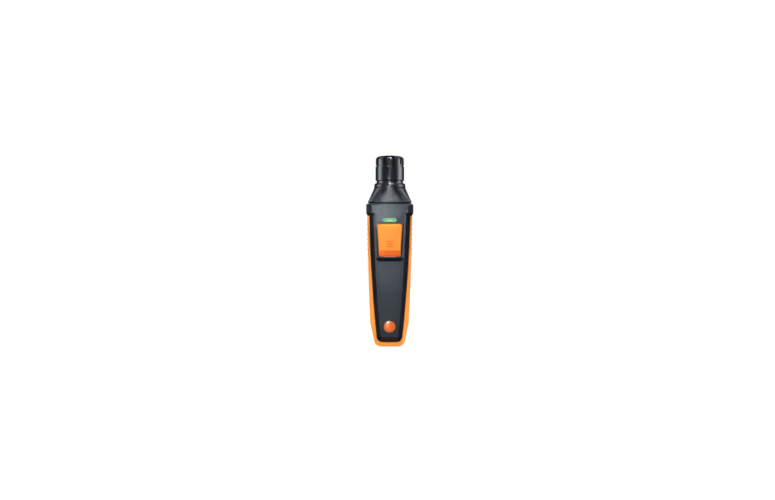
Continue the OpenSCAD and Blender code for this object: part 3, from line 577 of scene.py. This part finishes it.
keyFace = {
    "low": 94.0, "high": 128.3,
    "lowWidth": 22.5, "highWidth": 26.5,
    "corner": 2.0, "cornerSteps": 6,
    "back": -16.4, "foot": -18.9, "front": -21.2,
    "slope": 1.6, "lowSlope": 6.6,      # how wide the slopes are at the sides and top, and at the lower end
    "straightEnd": 0.35,                # the straight wall ends this far behind the foot of the slopes
    # rings up the slopes, and how far each is held back, which rounds the edges
    "slopeStops": (0.03, 0.1, 0.93, 0.99), "slopeLifts": (0.1, 0.0, 0.0, 0.03),
    "cornerLoss": 0.5, "frontCorner": 1.5,
    "frontInset": 0.15, "lowFrontInset": 0.2,
    "facing": -0.5, "leaning": -0.1,    # normals of the lower slope point forwards and down past these
    "sharp": 14.0,
}


def wedgeOutline(low, high, lowWidth, highWidth, corner, y, steps):
    # trapezoid with round corners in the upright plane at y
    points = []
    corners = ((highWidth / 2, high, 0), (-highWidth / 2, high, 90), (-lowWidth / 2, low, 180),
               (lowWidth / 2, low, 270))
    for x, z, start in corners:
        cx, cz = x - math.copysign(corner, x), z - corner if z == high else z + corner
        for i in range(steps + 1):
            a = math.radians(start + 90 * i / steps)
            points.append((cx + corner * math.cos(a), y, cz + corner * math.sin(a)))
    return points


def keyCap():
    k = keyFace
    slant = (k["highWidth"] - k["lowWidth"]) / (k["high"] - k["low"]) / 2

    def outline(inset, lowInset, y, corner):
        return wedgeOutline(k["low"] + lowInset, k["high"] - inset,
                            k["lowWidth"] + 2 * slant * lowInset - 2 * inset,
                            k["highWidth"] - 2 * slant * inset - 2 * inset, corner, y, k["cornerSteps"])

    def onSlope(share, lift):
        rise = k["foot"] - k["front"]
        return outline(k["slope"] * share, k["lowSlope"] * share, k["foot"] - rise * share + lift,
                       k["corner"] - k["cornerLoss"] * share)

    rings = [outline(0, 0, k["back"], k["corner"]), outline(0, 0, k["foot"] + k["straightEnd"], k["corner"])]
    rings += [onSlope(share, lift) for share, lift in zip(k["slopeStops"], k["slopeLifts"])]
    rings.append(outline(k["slope"] + k["frontInset"], k["lowSlope"] + k["lowFrontInset"], k["front"],
                         k["frontCorner"]))
    slot = "orange_key"
    piece = finishPiece("keyCap", lofted(rings), "key", finishes[slot], ["key_cap"], k["sharp"])
    # painted shade: the lower slope leans down, and its faces that point forwards and down take a deeper
    # orange
    piece.data.materials.append(keyPaintedShadeAndPrint)
    for face in piece.data.polygons:
        low = face.center.z < (k["low"] + k["lowSlope"]) * mm
        if low and face.normal.y < k["facing"] and face.normal.z < k["leaning"]:
            face.material_index = 1


ribs = {
    "z": (104.5, 107.0, 109.5),
    "length": 7.2, "height": 1.1, "rise": 0.25,
    "round": 0.98, "cornerSteps": 4,           # share of the half height that is rounded
    "rooted": 0.1, "proud": 0.12,              # how far the sides reach behind and before the key's face
    "topLength": 0.985, "topHeight": 0.7,      # share of the outline that is left at the top
}


def keyRibs():
    # three low bars on the key, where the thumb presses it
    r = ribs
    face = keyFace["front"]
    bm = bmesh.new()
    for z in r["z"]:
        half, up = r["length"] / 2, r["height"] / 2
        outline = wedgeOutline(z - up, z + up, 2 * half, 2 * half, up * r["round"], 0, r["cornerSteps"])
        rings = [[(x, face + y, pz) for x, _, pz in outline] for y in (r["rooted"], -r["proud"])]
        top = [(x * r["topLength"], face - r["rise"], z + (pz - z) * r["topHeight"]) for x, _, pz in outline]
        bar = lofted(rings + [top])
        mesh = bpy.data.meshes.new("bar")
        bar.to_mesh(mesh)
        bar.free()
        bm.from_mesh(mesh)
        bpy.data.meshes.remove(mesh)
    # the bars take the deeper orange of printed marks
    finishPiece("keyRibs", bm, "key", keyPaintedShadeAndPrint)


# deeper orange: painted shade on the key's lower slope, and the colour of the printed marks on the ribs
keyPaintedShadeAndPrint = mouldedPlastic("orangeKeyPaintedShadeAndPrint", orange["keyPaintedShadeAndPrint"], rubbery)
keyCap()
keyRibs()
print("key made")


badgeDome = {
    "radius": 6.0, "edge": 5.2,
    "low": 0.35, "high": 1.1,          # how far the dome's edge and its middle stand out
    "z": 21.0,
    "seat": 0.8, "lift": 0.5,          # depth of its seat, and how far it is brought forward again
    "foot": 0.0,                       # where its straight side ends
    "shoulder": (0.5, 0.3), "shoulderTurn": 30.0, "shoulderSteps": 3,
    "segments": 72, "steps": 10,
    "sharp": 50.0,
}
gripFront = {"y": -14.8, "slope": 0.0249}      # the front of the grip leans forward as it rises


def onFace(point, z):
    # from the badge's own frame, with its top along +Z, to the leaning front of the grip
    lean = math.atan(gripFront["slope"])
    turned = Matrix.Rotation(math.pi / 2 + lean, 3, "X") @ Vector(point)
    return turned + Vector((0, gripFront["y"] - gripFront["slope"] * z, z))


def badge():
    b = badgeDome
    around = turns(b["segments"])
    crown = b["high"] - b["low"]
    ball = (b["edge"] ** 2 + crown ** 2) / (2 * crown)
    inward, upward = b["shoulder"]
    profile = [(b["radius"], -b["seat"]), (b["radius"], b["foot"])]
    for i in range(1, b["shoulderSteps"] + 1):
        a = math.radians(b["shoulderTurn"] * i)
        profile.append((b["radius"] - inward * (1 - math.cos(a)), b["foot"] + upward * math.sin(a)))
    for i in range(b["steps"]):
        r = b["edge"] * (1 - i / b["steps"])
        profile.append((r, b["low"] + math.sqrt(ball * ball - r * r) - (ball - crown)))
    forward = b["lift"] - b["seat"]
    rings = [[tuple(onFace((r * math.cos(t), r * math.sin(t), up + forward), b["z"])) for t in around]
             for r, up in profile]
    finishPiece("badgeDome", lofted(rings), "handle", finishes["badge"], ["badge"], b["sharp"])


badge()
print("badge made")


lightPipe = {
    "z": 132.15, "width": 14.9, "height": 4.3,
    "point": 1.9,              # length of the pointed ends
    "front": -20.2, "back": -17.0,
    "edge": 0.3,
    "sideways": 1.2,           # the ends draw in by more than the long sides
    "partway": 0.3,            # the bevel's middle ring, as a share of the edge
    "sharp": 30.0,
}
glow = {"width": 6.4, "top": 0.55, "low": -1.75, "steps": 16,
        "innerWidth": 0.62, "innerHeight": 0.35,
        "rooted": 0.1, "proud": 0.03}


def lensOutline(inset, y):
    # long hexagon in the upright plane
    p = lightPipe
    z, w, h = p["z"], p["width"] / 2 - inset * p["sideways"], p["height"] / 2 - inset
    long = w - p["point"]
    corners = [(w, 0), (long, h), (-long, h), (-w, 0), (-long, -h), (long, -h)]
    return [(x, y, z + up) for x, up in corners]


def statusLight():
    p = lightPipe
    edge, partway = p["edge"], p["edge"] * p["partway"]
    rings = [lensOutline(0, p["back"]), lensOutline(0, p["front"] + edge),
             lensOutline(partway, p["front"] + partway), lensOutline(edge, p["front"])]
    slot = "status_lens"
    finishPiece("statusLens", lofted(rings), "handle", finishes[slot], ["light_pipe"], p["sharp"])


def lensGlow():
    # pale bow where the lamp behind the lens shows through
    rise = glow["top"] - glow["low"]

    def bow(width, height):
        half = glow["width"] / 2 * width
        return [(half * math.cos(a), glow["low"] + rise * height * math.sin(a))
                for a in (math.pi * i / glow["steps"] for i in range(glow["steps"] + 1))]

    outline = bow(1.0, 1.0) + bow(glow["innerWidth"], glow["innerHeight"])[::-1]
    rings = [[(x, lightPipe["front"] + y, lightPipe["z"] + up) for x, up in outline]
             for y in (glow["rooted"], -glow["proud"])]
    finishPiece("lensGlow", lofted(rings), "handle", lensPale)


statusLight()
lensGlow()
print("light made")


studio = {
    "lens": 100.0,
    "sensor": 36.0,
    "frameWidth": 0.813,      # what the frame takes in at the axis of the object
    "left": -2.28 * mm,       # the camera stands a little left of the axis
    "height": 100.95 * mm,
    "roll": -0.12,
    "farthest": 20.0,
}


def makeCamera():
    data = bpy.data.cameras.new("camera")
    data.lens = studio["lens"]
    data.sensor_width = studio["sensor"]
    data.clip_end = studio["farthest"]
    camera = bpy.data.objects.new("camera", data)
    distance = studio["frameWidth"] * studio["lens"] / studio["sensor"]
    camera.location = (studio["left"], -distance, studio["height"])
    camera.rotation_euler = (math.radians(90), math.radians(studio["roll"]), 0)
    bpy.context.scene.collection.objects.link(camera)
    bpy.context.scene.camera = camera


# azimuth from the front towards +X, elevation, distance, width, height, power, spread,
# and the height and the side that the lamp is aimed at; a grid lights one patch of the front
softboxes = {
    "leftWall": (-87, 2, 1.1, 0.54, 0.34, 5.2, 180, 0.12, 0),
    "rightWall": (89, 2, 1.1, 0.62, 0.34, 6.4, 180, 0.12, 0),
    "leftHigh": (-85, 38, 0.6, 0.12, 0.12, 0.0022, 8, 0.168, 0),
    "rightHigh": (85, 38, 0.6, 0.12, 0.12, 0.0014, 8, 0.168, 0),
    "leftBack": (-105, 45, 1.1, 0.5, 0.5, 2.4, 180, 0.14, 0),
    "rightBack": (105, 45, 1.1, 0.5, 0.5, 2.8, 180, 0.14, 0),
    "overhead": (0, 80, 0.9, 0.22, 0.2, 1.9, 180, 0.14, 0),
    "frontBand": (0, 2, 1.5, 2.5, 0.25, 0.2, 180, 0.14, 0),
    "capBand": (0, 6, 0.6, 0.3, 0.05, 0.0045, 12, 0.199, 0),
    "crownGrid": (0, 64, 0.5, 0.07, 0.05, 0.013, 6, 0.168, 0),
    "coneGrid": (-3, 17, 0.6, 0.06, 0.04, 0.0013, 8, 0.148, 0),
    "collarGrid": (-4, 1, 0.5, 0.02, 0.03, 0.0047, 7, 0.143, -0.005),
    "faceGrid": (-4, -3, 0.5, 0.03, 0.05, 0.0028, 8, 0.081, 0),
    "footGrid": (-4, 0, 0.5, 0.05, 0.02, 0.0016, 9, 0.024, 0),
    "badgeGlint": (-12, 22, 0.5, 0.09, 0.045, 0.015, 26, 0.021, 0),
}


def makeLamps():
    for name, (azimuth, elevation, distance, across, up, power, spread, aimed, side) in softboxes.items():
        data = bpy.data.lights.new(name, "AREA")
        data.shape = "RECTANGLE"
        data.size = across
        data.size_y = up
        data.energy = power
        data.spread = math.radians(spread)
        lamp = bpy.data.objects.new(name, data)
        a, e = math.radians(azimuth), math.radians(elevation)
        away = Vector((math.sin(a) * math.cos(e), -math.cos(a) * math.cos(e), math.sin(e)))
        lamp.location = Vector((side, 0, aimed)) + away * distance
        lamp.rotation_euler = away.to_track_quat("Z", "Y").to_euler()
        lamp.visible_camera = False
        bpy.context.scene.collection.objects.link(lamp)


backdrop = {
    "fill": 0.72,              # what dull surfaces get from the room
    "mirrored": 0.04,          # how much of the pale room shiny surfaces show
    "floorMirrored": 0.02,
    "floorGlow": 1.22,
    "floorShare": 0.76,        # share of the floor's look that is its glow
    "floorColour": (0.8, 0.8, 0.8, 1),
    "floorRough": 0.9,
    "floorSize": 8.0,
    "floorDrop": 0.05 * mm,    # keeps the floor clear of the foot
}


def byRay(nodes, link, dull, shiny):
    # 1 for what the camera or clear plastic sees, other shares for shiny and for dull surfaces
    path = nodes.new("ShaderNodeLightPath")
    clear = nodes.new("ShaderNodeMath")
    clear.operation = "MAXIMUM"
    link(path.outputs["Is Camera Ray"], clear.inputs[0])
    link(path.outputs["Is Transmission Ray"], clear.inputs[1])
    bounced = nodes.new("ShaderNodeMapRange")
    bounced.inputs["To Min"].default_value = dull
    bounced.inputs["To Max"].default_value = shiny
    link(path.outputs["Is Glossy Ray"], bounced.inputs["Value"])
    share = nodes.new("ShaderNodeMapRange")
    share.inputs["To Max"].default_value = 1.0
    link(clear.outputs[0], share.inputs["Value"])
    link(bounced.outputs["Result"], share.inputs["To Min"])
    return share.outputs["Result"]


def makeWorld():
    world = bpy.data.worlds.new("studio")
    world.use_nodes = True
    nodes, link = world.node_tree.nodes, world.node_tree.links.new
    room = nodes["Background"]
    room.inputs["Color"].default_value = (1, 1, 1, 1)
    link(byRay(nodes, link, backdrop["fill"], backdrop["mirrored"]), room.inputs["Strength"])
    bpy.context.scene.world = world


def makeFloor():
    # the camera sees a glowing floor with the object's shadow, and shiny surfaces see it almost black
    bm = bmesh.new()
    bmesh.ops.create_grid(bm, x_segments=1, y_segments=1, size=backdrop["floorSize"])
    mesh = bpy.data.meshes.new("floor")
    bm.to_mesh(mesh)
    bm.free()
    floor = bpy.data.objects.new("floor", mesh)
    floor.location.z = -backdrop["floorDrop"]
    bpy.context.scene.collection.objects.link(floor)
    n = Nodes("floorPaint")

    def glowing(strength):
        node = n.add("ShaderNodeEmission")
        node.inputs["Strength"].default_value = strength
        return node.outputs[0]

    def mixed(first, second):
        node = n.add("ShaderNodeMixShader")
        n.join(first, node.inputs[1])
        n.join(second, node.inputs[2])
        return node

    n.fixed(Base_Color=backdrop["floorColour"], Roughness=backdrop["floorRough"], Specular_IOR_Level=0.0)
    paint = n.shader.outputs[0]
    lit = mixed(paint, glowing(backdrop["floorGlow"]))
    lit.inputs["Fac"].default_value = backdrop["floorShare"]
    path = n.add("ShaderNodeLightPath")
    bounced = mixed(paint, glowing(0.0))
    n.join(path.outputs["Is Glossy Ray"], bounced.inputs["Fac"])
    seen = mixed(bounced.outputs[0], lit.outputs[0])
    n.join(byRay(n.tree.nodes, n.tree.links.new, 0.0, backdrop["floorMirrored"]), seen.inputs["Fac"])
    n.join(seen.outputs[0], n.output.inputs["Surface"])
    dress(floor, n.material)


makeCamera()
makeLamps()
makeWorld()
makeFloor()
bpy.context.scene.view_settings.view_transform = "Standard"
print("stage set")
